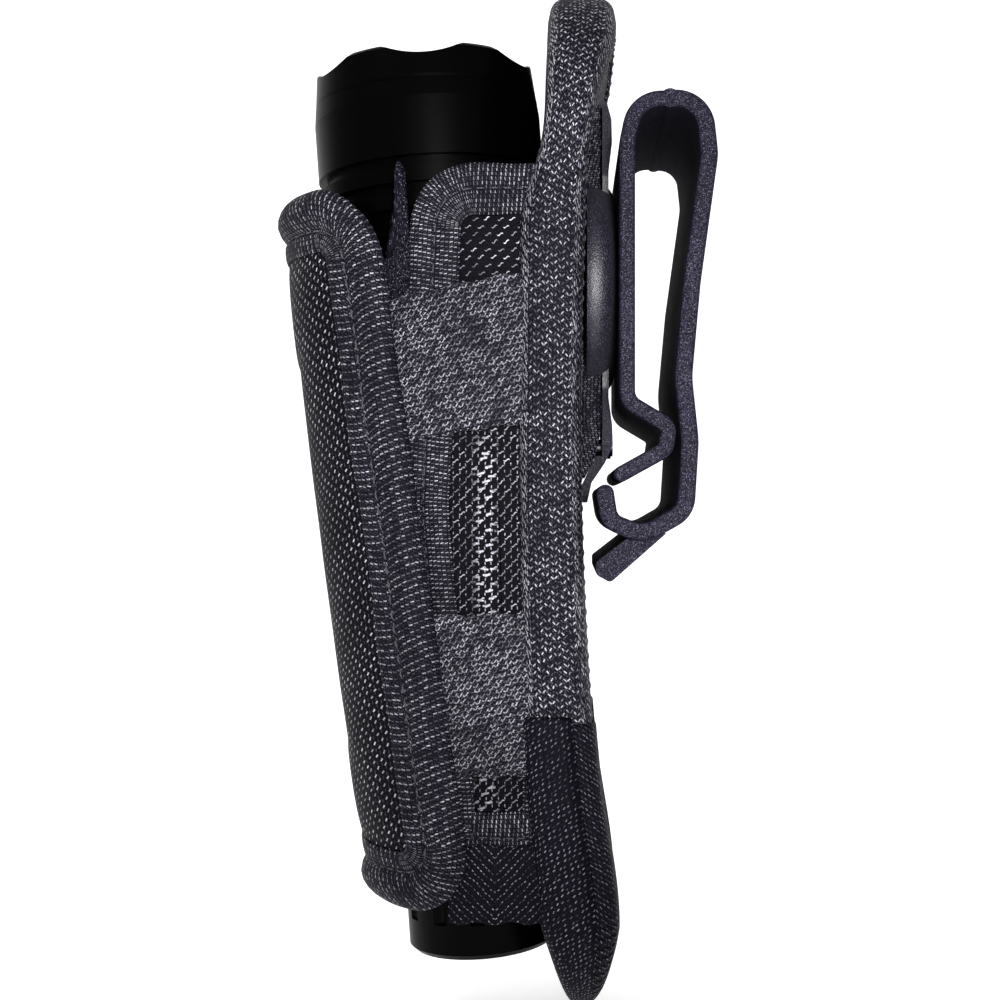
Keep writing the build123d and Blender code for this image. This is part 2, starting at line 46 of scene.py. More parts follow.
BODY_BORE, HEAD_FLARE = 13.9, 6.7  # radius of the light's bore, and how much its head widens it
NECK, FLARE_LENGTH = 92, 18  # where the head begins, and how long it takes to widen
PAD = 4.0  # from the pocket to the middle of the front panel
FRONT_TOP, FRONT_BOTTOM = 14.0, -107.0
WING_TOP, WING_BOTTOM = 17.5, -98.5
PANEL_TOP, PANEL_BOTTOM = 51.0, -126.5
HALF, LOW_HALF = 27.0, 19.5  # half widths of the back panel, above and below
STRAIGHT_TOP, STRAIGHT_BOTTOM = 20, -103  # of the back panel's sides
TOP_ARC, LOW_ARC = 90, 72  # roughly how long its rounded ends are
PANEL_DEPTH = 10.0  # the back panel's, for its weave
COARSE = 1.5  # grid of the broad padded faces
FRAMES = 20  # length of a cloth run


# ------------ forms
def pocket_radius(height):
    """The pocket's radius at a height along the light."""
    return 14.1 + 0.0585 * height


def from_light(across, side, height):
    """A point from its place in the leaning light's own frame."""
    x = TAIL[0] + across * math.cos(LEAN) - height * math.sin(LEAN)
    z = TAIL[2] + across * math.sin(LEAN) + height * math.cos(LEAN)
    return np.stack(np.broadcast_arrays(x, side, z), -1)


def wrap(u, z, out):
    """The front panel's place: u runs round the pocket from its front, z is the height, out the offset."""
    height = (z - TAIL[2]) / math.cos(LEAN)
    for _ in range(3):
        reference = pocket_radius(height) + PAD
        angle = np.clip(np.abs(u) / reference, 0, math.pi / 2)
        straight = np.maximum(np.abs(u) - reference * math.pi / 2, 0)
        radius = pocket_radius(height) + out
        across = straight - radius * np.cos(angle)
        height = (z - TAIL[2] - across * math.sin(LEAN)) / math.cos(LEAN)
    side = np.sign(u) * radius * np.sin(angle)
    return from_light(across, side, height)


def flank(x, z, out, side):
    """The pocket's left (-1) or right (+1) flank, at a place seen from the side."""
    height = (z - TAIL[2]) / math.cos(LEAN)
    for _ in range(3):
        across = (x - TAIL[0] + height * math.sin(LEAN)) / math.cos(LEAN)
        height = (z - TAIL[2] - across * math.sin(LEAN)) / math.cos(LEAN)
    radius = pocket_radius(height) + out
    depth = np.sqrt(np.maximum(radius**2 - np.minimum(across, 0) ** 2, 0))
    return np.stack(np.broadcast_arrays(x, side * depth, z), -1)


def wrap_edge(x, z):
    """How far round the pocket a place seen from the side lies."""
    height = (z - TAIL[2]) / math.cos(LEAN)
    across = (x - TAIL[0] + height * math.sin(LEAN)) / math.cos(LEAN)
    reference = pocket_radius(height) + PAD
    if across > 0:
        return reference * math.pi / 2 + across
    return reference * math.acos(-across / reference)


def front_edge(z):
    """The x of the front panel's edge on the flank."""
    return -42.8 + (FRONT_TOP - z) * 0.1363


def smooth_curve(knots, values):
    """A smooth curve through (z, x) knots, as a function of z."""
    order = np.argsort(knots)
    k, v = np.array(knots, float)[order], np.array(values, float)[order]
    slopes = np.gradient(v, k)

    def curve(z):
        i = np.clip(np.searchsorted(k, z) - 1, 0, len(k) - 2)
        step = k[i + 1] - k[i]
        t = np.clip((z - k[i]) / step, 0, 1)
        return ((1 + 2 * t) * (1 - t) ** 2 * v[i] + t * (1 - t) ** 2 * step * slopes[i]
                + t * t * (3 - 2 * t) * v[i + 1] + t * t * (t - 1) * step * slopes[i + 1])
    return curve


panel_front = smooth_curve((60, 34, 21, 10, -4, -50, -78, -102, -135),
                           (-14.3, -14.3, -15.2, -18.4, -18.8, -18.8, -17.8, -15.4, -11.0))
panel_rear = smooth_curve((60, 40, 30, 19, 6, -52, -84, -106, -135),
                          (-3.3, -3.5, -6.0, -8.0, -8.6, -8.6, -6.4, -3.4, -4.4))


def panel(y, z, through, out=0.0):
    """The back panel's place: through is 0 on its front face and 1 on its rear face."""
    front, rear = panel_front(z), panel_rear(z)
    height = (z - TAIL[2]) / math.cos(LEAN)
    bore = BODY_BORE + HEAD_FLARE * np.clip((height - NECK) / FLARE_LENGTH, 0, 1)
    axis = TAIL[0] - height * math.sin(LEAN)
    clear = axis + np.sqrt(np.maximum(bore**2 - y**2, 0)) + 0.3
    front = np.where(np.abs(y) < bore, np.maximum(front, clear), front)
    middle = (front + rear) / 2 - 0.9 * np.clip((-112 - z) / 14, 0, 1)
    slim = 0.30 + 0.70 * np.sqrt(np.clip((z - PANEL_BOTTOM) / 17, 0, 1))
    front, rear = middle + (front - middle) * slim, middle + (rear - middle) * slim
    x = front + through * (rear - front) + np.where(through < 0.5, -out, out)
    return np.stack(np.broadcast_arrays(x, y, z), -1)


def ring(corners, radii, inset, pitch=0.8):
    """Points round a convex outline with rounded corners, moved inwards by inset; they keep their order."""
    corners = np.array(corners, float)
    count = len(corners)
    along = np.roll(corners, -1, 0) - corners
    along /= np.linalg.norm(along, axis=1)[:, None]
    outward = np.stack((along[:, 1], -along[:, 0]), 1)
    arcs = []
    for i in range(count):
        before, after = outward[i - 1], outward[i]
        half = (before + after) / 2
        centre = corners[i] - radii[i] * half / (half @ half)
        start = math.atan2(before[1], before[0])
        turn = (math.atan2(after[1], after[0]) - start) % (2 * math.pi)
        steps = max(3, int(radii[i] * turn / pitch * 1.3))
        angles = start + turn * np.linspace(0, 1, steps)
        arcs.append(centre + (radii[i] - inset) * np.stack((np.cos(angles), np.sin(angles)), 1))
    points = []
    for i in range(count):
        points.append(arcs[i])
        reach = np.linalg.norm(corners[(i + 1) % count] - corners[i])
        steps = max(2, int(reach / pitch))
        t = np.linspace(0, 1, steps + 1)[1:-1, None]
        points.append(arcs[i][-1] * (1 - t) + arcs[(i + 1) % count][0] * t)
    return np.concatenate(points)


def loop(points):
    """A line of points that ends where it starts."""
    return np.concatenate((points, points[:1]))


def lengths(points):
    """The running length along a line of points."""
    return np.concatenate(([0], np.cumsum(np.linalg.norm(np.diff(points, axis=0), axis=1))))


# ------------ mesh building
materials = {}


def piece(name, blocks, material):
    """Makes one holster piece of grids: each block is (points, uv, closed), with uv in millimetres."""
    vertices, faces, uvs, start = [], [], [], 0
    for points, uv, closed in blocks:
        rows, columns = points.shape[:2]
        last = columns if closed else columns - 1
        i, j = np.meshgrid(np.arange(rows - 1), np.arange(last), indexing="ij")
        i, j = i.ravel(), j.ravel()
        corner = [(i, j), (i, j + 1), (i + 1, j + 1), (i + 1, j)]
        faces.append(np.stack([start + a * columns + b % columns for a, b in corner], 1))
        uvs.append(np.stack([uv[a, np.minimum(b, uv.shape[1] - 1)] for a, b in corner], 1))
        vertices.append(points.reshape(-1, 3))
        start += rows * columns
    mesh = bpy.data.meshes.new(name)
    mesh.from_pydata((np.concatenate(vertices) * MM).tolist(), [], np.concatenate(faces).tolist())
    layer = mesh.uv_layers.new(name="weave")
    layer.data.foreach_set("uv", np.concatenate(uvs).reshape(-1).astype(np.float32))
    obj = bpy.data.objects.new(name, mesh)
    bpy.context.scene.collection.objects.link(obj)
    tidy(obj)
    mesh.polygons.foreach_set("use_smooth", [True] * len(mesh.polygons))
    mesh.materials.append(materials[material])
    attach(obj, "holster")
    return obj


def tidy(obj):
    """Joins doubled points and turns the faces outwards."""
    shape = bmesh.new()
    shape.from_mesh(obj.data)
    bmesh.ops.remove_doubles(shape, verts=shape.verts, dist=0.00001)
    bmesh.ops.dissolve_degenerate(shape, edges=shape.edges, dist=0.000005)
    bmesh.ops.recalc_face_normals(shape, faces=shape.faces)
    shape.to_mesh(obj.data)
    shape.free()


def swell(obj, loose, reach, pressure=4.0, enlarge=10.0):
    """Blows a padded piece out as cloth: only the points near loose move, by up to reach millimetres."""
    near = kdtree.KDTree(len(loose))
    for index, point in enumerate(loose):
        near.insert(Vector(point * MM), index)
    near.balance()
    count = len(obj.data.vertices)
    rest = np.empty(count * 3, np.float32)
    obj.data.vertices.foreach_get("co", rest)
    shape = obj.data.copy()
    shape.vertices.foreach_set("co", rest * enlarge)
    cloth = bpy.data.objects.new("swelling", shape)
    bpy.context.scene.collection.objects.link(cloth)
    held = cloth.vertex_groups.new(name="held")
    held.add([v.index for v in obj.data.vertices if near.find(v.co)[2] > 0.02 * MM], 1.0, "REPLACE")
    modifier = cloth.modifiers.new("swelling", "CLOTH")
    modifier.settings.vertex_group_mass = "held"
    modifier.settings.use_pressure = True
    modifier.settings.uniform_pressure_force = pressure
    modifier.settings.effector_weights.gravity = 0.0
    modifier.settings.quality = 4
    modifier.collision_settings.use_collision = False
    modifier.point_cache.frame_start, modifier.point_cache.frame_end = 1, FRAMES
    for frame_number in range(1, FRAMES + 1):
        bpy.context.scene.frame_set(frame_number)
    blown = np.empty(count * 3, np.float32)
    result = cloth.evaluated_get(bpy.context.evaluated_depsgraph_get()).to_mesh()
    result.vertices.foreach_get("co", blown)
    moved = (blown / enlarge - rest).reshape(-1, 3)
    far = np.linalg.norm(moved, axis=1, keepdims=True)
    moved *= np.minimum(1.0, reach * MM / np.maximum(far, 1e-9))
    obj.data.vertices.foreach_set("co", rest + moved.reshape(-1))
    obj.data.update()
    bpy.data.objects.remove(cloth)
    bpy.data.meshes.remove(shape)
    bpy.context.scene.frame_set(1)


def refine(obj):
    """Adds one subdivision to a simulated piece."""
    obj.modifiers.new("refine", "SUBSURF").render_levels = 1


def swept(outline, radii, section, place, pitch=0.8):
    """A tape along an outline: section lists (inset, offset), place turns (a, b, offset) into a point."""
    rings = [ring(outline, radii, inset, pitch) for inset, _ in section]
    middle = rings[len(rings) // 2]
    u = lengths(loop(middle))
    points = np.stack([place(*r.T, offset) for r, (_, offset) in zip(rings, section)])
    v = lengths(np.array(section, float))
    uv = np.stack(np.broadcast_arrays(u[None, :], v[:, None]), -1)
    return points, uv, True


def filled(outline, radii, inset, spine, profile, place, steps=14, pitch=0.8):
    """The inside of an outline, from a ring in to a spine, with an offset that follows a profile of 0 to 1."""
    rim = ring(outline, radii, inset, pitch)
    centre = spine(rim)
    fractions = np.linspace(0, 1, steps)
    flat = np.stack([rim + (centre - rim) * f for f in fractions])
    offsets = np.stack([np.full(len(rim), profile(f)) for f in fractions])
    points = place(flat[..., 0], flat[..., 1], offsets)
    uv = np.concatenate((flat, flat[:, :1]), 1)
    return points, uv, True


def waver(a, b, size, reach):
    """A small smooth unevenness, the same on each run."""
    return size * (np.sin(a / reach * 2.1 + 0.7) * np.cos(b / reach * 1.7 - 0.4)
                   + 0.6 * np.sin(a / reach * 4.3 + b / reach * 3.1 + 1.9)) / 1.6


# ------------ material nodes
class Value:
    """One number in a material's nodes, with arithmetic."""

    def __init__(self, tree, source):
        self.tree, self.source = tree, source

    def math(self, operation, *terms):
        return calculate(self.tree, operation, self, *terms)

    def __add__(self, other):
        return self.math("ADD", other)

    def __radd__(self, other):
        return self.math("ADD", other)

    def __mul__(self, other):
        return self.math("MULTIPLY", other)

    def __rmul__(self, other):
        return self.math("MULTIPLY", other)

    def __sub__(self, other):
        return self.math("SUBTRACT", other)

    def __rsub__(self, other):
        return calculate(self.tree, "SUBTRACT", other, self)

    def __truediv__(self, other):
        return self.math("DIVIDE", other)

    def floor(self):
        return self.math("FLOOR")

    def part(self):
        return self.math("FRACT")

    def size(self):
        return self.math("ABSOLUTE")

    def sine(self):
        return self.math("SINE")

    def least(self, other):
        return self.math("MINIMUM", other)

    def most(self, other):
        return self.math("MAXIMUM", other)

    def ramp(self, low, high, start=0.0, end=1.0):
        """Goes smoothly from start to end as the number goes from low to high."""
        node = self.tree.nodes.new("ShaderNodeMapRange")
        node.interpolation_type = "SMOOTHSTEP"
        if low > high:
            low, high, start, end = high, low, end, start
        for index, term in enumerate((self, low, high, start, end)):
            feed(self.tree, node.inputs[index], term)
        return Value(self.tree, node.outputs[0])


def feed(tree, socket, term):
    """Gives a socket a number, or links one to it."""
    if isinstance(term, Value):
        tree.links.new(term.source, socket)
    else:
        socket.default_value = term


def calculate(tree, operation, *terms):
    """The outcome of one math node."""
    node = tree.nodes.new("ShaderNodeMath")
    node.operation = operation
    for index, term in enumerate(terms):
        feed(tree, node.inputs[index], term)
    return Value(tree, node.outputs[0])


class Finish:
    """A procedural material under construction."""

    def __init__(self, name):
        self.material = bpy.data.materials.new(name)
        self.material.use_nodes = True
        self.tree = self.material.node_tree
        self.shader = next(n for n in self.tree.nodes if n.type == "BSDF_PRINCIPLED")
        materials[name] = self.material

    def new(self, kind):
        return self.tree.nodes.new(kind)

    def weave(self):
        """The two weave coordinates, in millimetres."""
        source = self.new("ShaderNodeUVMap")
        source.uv_map = "weave"
        apart = self.new("ShaderNodeSeparateXYZ")
        self.tree.links.new(source.outputs[0], apart.inputs[0])
        return Value(self.tree, apart.outputs[0]), Value(self.tree, apart.outputs[1])

    def place(self):
        """The three object coordinates, in millimetres."""
        source = self.new("ShaderNodeTexCoord")
        apart = self.new("ShaderNodeSeparateXYZ")
        self.tree.links.new(source.outputs["Object"], apart.inputs[0])
        return [Value(self.tree, apart.outputs[i]) * 1000.0 for i in range(3)]

    def vector(self, a, b, c=0.0):
        node = self.new("ShaderNodeCombineXYZ")
        for socket, term in zip(node.inputs, (a, b, c)):
            feed(self.tree, socket, term)
        return node.outputs[0]

    def noise(self, a, b, c=0.0, scale=1.0, detail=2.0):
        node = self.new("ShaderNodeTexNoise")
        self.tree.links.new(self.vector(a, b, c), node.inputs["Vector"])
        node.inputs["Scale"].default_value = scale
        node.inputs["Detail"].default_value = detail
        return Value(self.tree, node.outputs[0])

    def chance(self, a, b, c=0.0):
        """A random number for each whole a and b."""
        node = self.new("ShaderNodeTexWhiteNoise")
        self.tree.links.new(self.vector(a, b, c), node.inputs["Vector"])
        return Value(self.tree, node.outputs[0])

    def mix(self, amount, first, second):
        node = self.new("ShaderNodeMix")
        node.data_type = "RGBA"
        feed(self.tree, node.inputs[0], amount)
        for socket, colour in ((node.inputs[6], first), (node.inputs[7], second)):
            if isinstance(colour, tuple):
                socket.default_value = (*colour, 1.0)
            else:
                self.tree.links.new(colour, socket)
        return node.outputs[2]

    def set(self, colour=None, roughness=None, height=None, depth=0.1, **constants):
        """Fills in the shader; height is in units of depth millimetres."""
        if isinstance(colour, tuple):
            self.shader.inputs["Base Color"].default_value = (*colour, 1.0)
        elif colour is not None:
            self.tree.links.new(colour, self.shader.inputs["Base Color"])
        if roughness is not None:
            feed(self.tree, self.shader.inputs["Roughness"], roughness)
        if height is not None:
            bump = self.new("ShaderNodeBump")
            bump.inputs["Distance"].default_value = depth * MM
            bump.inputs["Strength"].default_value = 1.0
            self.tree.links.new(height.source, bump.inputs["Height"])
            self.tree.links.new(bump.outputs[0], self.shader.inputs["Normal"])
        for name, value in constants.items():
            self.shader.inputs[name.replace("_", " ")].default_value = value
        return self.material


def threads(finish, a, b, pitch_a, pitch_b, tilt, length, width, stagger=0.5, loose=0.25, bow=0.0, jitter=0.15,
            paired=False):
    """Short thread floats on a staggered lattice: how much of a float is here, and its own random number."""
    wobble = finish.noise(a, b, scale=0.4, detail=1.0) - 0.5
    a = a + wobble * loose
    column = (a / pitch_a).floor()
    step = (column / 2.0).floor() if paired else column
    along = b / pitch_b + step * stagger
    row = along.floor()
    luck = finish.chance(column, row)
    other = finish.chance(row, column, 7.0)
    across = ((a / pitch_a).part() - 0.5 + (other - 0.5) * jitter) * pitch_a
    up = (along.part() - 0.5 + (luck - 0.5) * jitter) * pitch_b
    if isinstance(tilt, Value):
        turn = tilt + (other - 0.5) * 0.35
    else:
        turn = (other - 0.5) * 0.35 + math.radians(tilt)
    cosine, sine = turn.math("COSINE"), turn.sine()
    forward = across * cosine + up * sine
    aside = up * cosine - across * sine
    if bow:
        aside = aside + (forward * (2 * math.pi / (length + width))).sine() * bow
    past = (forward.size() - length / 2).most(0.0)
    gap = (past * past + aside * aside).math("SQRT")
    return gap.ramp(width * 0.60, width * 0.25), luck


# tones of the woven pieces; the pale thread tone is a painted glint on the floats
INK = (0.0015, 0.0015, 0.0028)
CLOTH = (0.0028, 0.0025, 0.0055)
HAZE = (0.020, 0.0175, 0.033)
THREAD_GLINT = (0.66, 0.63, 0.72)


def fabric(finish, amount, luck, bright=1.0, depth=0.16, base=CLOTH, haze=0.5, patch=None, relief=None):
    """Finishes a woven material from its thread pattern: dark cloth, a haze of fibres and thread floats painted
    pale as glints.
    """
    a, b = finish.weave()
    shade = finish.noise(a, b, scale=0.05, detail=3.0).ramp(0.3, 0.7, 0.62, 1.2)
    fuzz = finish.noise(a, b, scale=3.2, detail=3.0)
    level = luck.ramp(0.0, 1.0, 0.12, 1.0) * shade * fuzz.ramp(0.32, 0.62, 0.45, 1.1) * bright
    if patch is not None:
        level = level * patch
    ground = finish.mix((fuzz.ramp(0.45, 0.75) * haze * shade).least(1.0), base, HAZE)
    # the floats take the pale thread tone, a painted glint
    tone = finish.mix((amount * level).least(1.0), ground, THREAD_GLINT)
    height = amount + fuzz * 0.35
    if relief is not None:
        height = height + relief
    return finish.set(colour=tone, roughness=0.62, height=height, depth=depth, Specular_IOR_Level=0.05)


def slab_material(name, colour, roughness, grain=0.4, depth=0.02, spread=0.12, **constants):
    """A moulded or machined material with fine grain and slight unevenness."""
    finish = Finish(name)
    x, y, z = finish.place()
    fine = finish.noise(x, y, z, scale=grain, detail=3.0)
    broad = finish.noise(x, y, z, scale=0.03, detail=3.0)
    tone = finish.mix(broad.ramp(0.3, 0.7), tuple(c * (1 - spread) for c in colour),
                      tuple(min(1.0, c * (1 + spread)) for c in colour))
    rough = roughness + (fine - 0.5) * 0.25 + (broad - 0.5) * 0.12
    return finish.set(colour=tone, roughness=rough, height=fine, depth=depth, **constants)


def moulded(name, dark, pale, shine, gloss, polished=100.0):
    """Moulded nylon: matt broad faces, sideways-facing rims lightened by a painted highlight and dotted with
    painted glints, and lower roughness on those rims out to a polished radius about the swivel.
    """
    finish = Finish(name)
    x, y, z = finish.place()
    source = finish.new("ShaderNodeTexCoord")
    apart = finish.new("ShaderNodeSeparateXYZ")
    finish.tree.links.new(source.outputs["Normal"], apart.inputs[0])
    rim = Value(finish.tree, apart.outputs[1]).size().ramp(0.3, 0.85)
    sheen = rim * (y * y + z * z).math("SQRT").ramp(polished + 1.0, polished)
    grain = finish.noise(x, y, z, scale=4.2, detail=3.0)
    cloud = finish.noise(x, y, z, scale=0.12, detail=3.0)
    # the sideways-facing rims get a lighter tone: a painted highlight
    tone = finish.mix(grain.ramp(0.40, 0.72) * (cloud * 1.5 - 0.1) * (0.4 + rim * 0.6), dark, pale)
    # painted glints: bright specks mixed into the colour, strongest on the sideways-facing rims
    painted_glints = finish.noise(x + 31.0, y, z, scale=6.5, detail=1.0).ramp(0.62, 0.70)
    tone = finish.mix(painted_glints * (0.08 + rim * 0.42), tone, (0.26, 0.25, 0.34))
    return finish.set(colour=tone, roughness=0.88 - sheen * gloss + grain * 0.1, height=grain, depth=0.10,
                      Specular_IOR_Level=shine)


# ------------ fabrics
def woven(name):
    """A new finish, and its two weave coordinates."""
    finish = Finish(name)
    return finish, *finish.weave()


def panel_net():
    """Face of the front panel: sparse slanted floats, each column a third of a pitch off the last."""
    f, u, v = woven("panel_net")
    amount, luck = threads(f, u, v, 0.92, 2.1, 142, 0.46, 0.30, stagger=-0.333, loose=0.2, bow=0.05)
    faint, _ = threads(f, u, v + 0.7, 0.92, 1.05, 90, 0.4, 0.22, stagger=-0.333, loose=0.2)
    fabric(f, amount.most(faint * 0.10), luck.most(0.45), base=INK, haze=0.35)


def panel_tape():
    """Binding of the front panel: rows of small dashes that bend as they climb over the padded roll."""
    f, u, v = woven("panel_tape")
    bend = v.ramp(2.0, 12.0, 0.0, 3.4)
    amount, luck = threads(f, v, u + bend, 0.85, 1.18, 8, 0.42, 0.27, stagger=0.0)
    fine, _ = threads(f, v, u + bend + 0.5, 0.42, 0.59, 30, 0.16, 0.20, loose=0.5, jitter=0.5)
    chain, _ = threads(f, v - 3.75, u, 0.7, 1.1, 60, 0.55, 0.22, stagger=0.0, loose=0.5)
    seam = (v - 4.1).size().ramp(0.55, 0.25)
    plain = 1.0 - seam
    fabric(f, (amount * plain).most(fine * 0.16).most(chain * seam * 0.8), luck, bright=0.72, haze=0.9)


def wing_tape():
    """Tape round the wings: finer rows with a stitched gap down the middle."""
    f, u, v = woven("wing_tape")
    amount, luck = threads(f, v, u, 0.74, 0.74, 6, 0.40, 0.21, stagger=0.08, loose=0.2)
    fine, _ = threads(f, v, u + 0.37, 0.37, 0.37, 20, 0.15, 0.15, loose=0.4, jitter=0.5)
    gap = (v - 4.6).size().ramp(0.2, 0.5, 0.15, 1.0)
    fabric(f, amount.most(fine * 0.12) * gap, luck, bright=0.85, haze=0.7)


def wing_net():
    """Net of the wings: rows of double-humped floats, ticks between dark cells, a painted highlight on loops
    along a bulge, and painted glints that dim towards the wing's front.
    """
    f, u, v = woven("wing_net")
    first, luck = threads(f, v, u, 1.27, 2.1, 74, 0.85, 0.27, loose=0.2, bow=0.13)
    ticks, _ = threads(f, u, v + 0.635, 1.05, 1.27, 90, 0.34, 0.22, stagger=0.0, loose=0.15)
    loops, _ = threads(f, v, u, 1.27, 2.1, 84, 0.95, 0.46, loose=0.5, jitter=0.5)
    # painted highlight: bright loops along the wing's bulge
    bulge = (u + 23.9 + f.noise(u, v, scale=0.5) * 1.6).size().ramp(2.4, 0.9) * v.ramp(-26.0, -29.0)
    # the painted glints on the floats dim towards the wing's front
    glint_fade = (u + 22.5).ramp(-4.5, 0.0, 0.62, 1.0)
    amount = first.most(ticks * 0.75 * v.ramp(-20.0, -24.0))
    fabric(f, amount.most(loops * bulge * 0.95), luck.most(bulge * 0.85).most(0.35), bright=1.05, base=INK,
           haze=0.3, patch=glint_fade, depth=0.3)


def elastic():
    """Elastic bands: dense uneven knots of crossing floats, in rows that climb towards the belt."""
    f, u, v = woven("elastic")
    slant = v - u * 0.22
    first, luck = threads(f, slant, u, 0.90, 1.02, 52, 0.44, 0.25, loose=0.7, bow=0.07, jitter=0.35)
    second, other = threads(f, slant + 0.2, u + 0.45, 0.90, 1.02, 128, 0.30, 0.25, loose=0.7, jitter=0.45)
    fine, _ = threads(f, slant, u, 0.36, 0.45, 60, 0.18, 0.17, loose=0.8, jitter=0.8)
    fabric(f, first.most(second * 0.75).most(fine * 0.2), luck.most(other * 0.8), bright=0.80, haze=0.9,
           depth=0.22)


def herringbone():
    """Edge of the back panel: knitted rows of small V floats, with a chain stitch along its front corner."""
    f, u, v = woven("herringbone")
    wobble = f.noise(v, u, scale=0.4, detail=1.0) - 0.5
    column = ((v + wobble * 0.5) / 0.66).floor()
    sense = (column / 2.0).part().ramp(0.2, 0.3, 0.95, -0.95)
    amount, luck = threads(f, v, u, 0.66, 1.25, sense, 0.40, 0.25, loose=0.5, jitter=0.35, paired=True)
    fine, _ = threads(f, v, u + 0.5, 0.37, 0.6, 60, 0.2, 0.18, loose=0.4, jitter=0.6)
    chain, _ = threads(f, v, u, 0.42, 1.2, 76, 0.70, 0.20, loose=0.9, jitter=0.7)
    seam = (v - 7.4).size().ramp(1.1, 0.7)
    rear = (v - 16.4).size().ramp(0.8, 0.5)
    edge = seam.most(rear * 0.8)
    fabric(f, (amount * (1.0 - edge)).most(fine * 0.14).most(chain * edge), luck.most(seam * 0.55),
           bright=0.95, haze=0.7)


def coarse_sleeve():
    """Coarse sleeve at the panel's lower end."""
    f, u, v = woven("coarse_sleeve")
    amount, luck = threads(f, v, u, 0.88, 0.92, -38, 0.36, 0.19, loose=0.6, bow=0.05, jitter=0.45)
    fabric(f, amount, luck, bright=0.46, haze=0.6)


def heel_tape():
    """Heel tape: small slanted dashes, gathered into pleats round the tip, dimmed to a painted shade in the
    pleats' hollows.
    """
    f, u, v = woven("heel_tape")
    amount, luck = threads(f, v, u, 0.62, 0.92, 48, 0.40, 0.18, loose=0.4, jitter=0.3)
    pleat = (u * (2 * math.pi / 1.75)).sine() * u.size().ramp(32.0, 25.0)
    # the dashes dim in the pleats' hollows: painted shade
    fabric(f, amount * pleat.ramp(-0.9, 0.4, 0.25, 1.0), luck, bright=0.40, haze=0.5, depth=0.3, relief=pleat)


def plain_cloth():
    """Flat fabric of the back panel's cover and the rear strap."""
    f, u, v = woven("plain_cloth")
    first, luck = threads(f, u, v, 0.62, 0.80, 0, 0.36, 0.22, loose=0.2)
    second, _ = threads(f, u, v + 0.4, 0.62, 0.80, 90, 0.30, 0.20, loose=0.2)
    fabric(f, first.most(second * 0.55), luck, bright=0.30, haze=0.9)


def cup_web():
    """Cup strap: rows of dashes that slant down to a V."""
    f, u, v = woven("cup_web")
    apart = (u + 23.2).size()
    climb = (v - apart) * 0.7071
    run = (v + apart) * 0.7071
    amount, luck = threads(f, climb, run, 1.05, 0.74, 90, 0.28, 0.19, stagger=0.3, loose=0.3, jitter=0.25)
    fabric(f, amount, luck, bright=0.52, haze=0.4)


def brushed_lining():
    """Brushed lining with a blue-violet cast."""
    f, u, v = woven("brushed_lining")
    pile = f.noise(u, v, scale=1.6, detail=4.0)
    fleck = f.noise(u, v, scale=3.5)
    tone = f.mix(pile.ramp(0.35, 0.7), (0.0015, 0.0015, 0.003), (0.013, 0.012, 0.020))
    tone = f.mix(fleck.ramp(0.60, 0.70, 0.0, 0.8), tone, (0.28, 0.27, 0.35))
    f.set(colour=tone, roughness=0.95, height=pile + fleck * 0.6, depth=0.3, Specular_IOR_Level=0.05)


def sewing_thread():
    """Twisted thread of the stitches."""
    f = Finish("sewing_thread")
    x, y, z = f.place()
    twist = ((x + y + z) * (2 * math.pi / 0.5)).sine()
    f.set(colour=f.mix(twist.ramp(-1.0, 1.0), (0.012, 0.012, 0.016), (0.10, 0.095, 0.12)), roughness=0.55,
          height=twist, depth=0.04, Specular_IOR_Level=0.5)


for make_fabric in (panel_net, panel_tape, wing_tape, wing_net, elastic, herringbone, coarse_sleeve, heel_tape,
                    plain_cloth, cup_web, brushed_lining, sewing_thread):
    make_fabric()
moulded("clip_plastic", (0.0040, 0.0037, 0.0080), (0.040, 0.036, 0.066), 0.05, 0.50)
moulded("base_plastic", (0.0050, 0.0048, 0.0090), (0.045, 0.043, 0.068), 0.6, 0.60, polished=20.4)
slab_material("anodised_black", (0.0004, 0.0004, 0.0005), 0.34, grain=5.0, depth=0.004, Specular_IOR_Level=0.035)
slab_material("black_rubber", (0.010, 0.010, 0.011), 0.62, grain=3.0, depth=0.03)
slab_material("blackened_steel", (0.03, 0.03, 0.034), 0.38, grain=4.0, depth=0.01, Metallic=1.0)
slab_material("black_board", (0.012, 0.020, 0.016), 0.5, grain=2.0, depth=0.01)
slab_material("white_plastic", (0.72, 0.72, 0.70), 0.4, grain=2.0, depth=0.01)
slab_material("chrome", (0.86, 0.87, 0.88), 0.07, grain=2.0, depth=0.0005, spread=0.02, Metallic=1.0)
slab_material("brass_metal", (0.66, 0.48, 0.20), 0.3, grain=3.0, depth=0.006, Metallic=1.0)
slab_material("steel_metal", (0.60, 0.60, 0.61), 0.25, grain=3.0, depth=0.006, Metallic=1.0)
slab_material("led_yellow", (0.85, 0.62, 0.08), 0.35, grain=2.0, depth=0.005)
slab_material("red_insulation", (0.30, 0.02, 0.02), 0.45, grain=2.0, depth=0.01)
slab_material("cell_wrap", (0.05, 0.12, 0.10), 0.35, grain=2.0, depth=0.01)
slab_material("stiff_plastic", (0.03, 0.03, 0.03), 0.55, grain=1.5, depth=0.03)
glass = Finish("clear_lens")
glass.set(colour=(0.97, 0.98, 1.0), roughness=0.03 + glass.noise(*glass.place(), scale=0.2) * 0.03,
          Transmission_Weight=1.0, IOR=1.5)

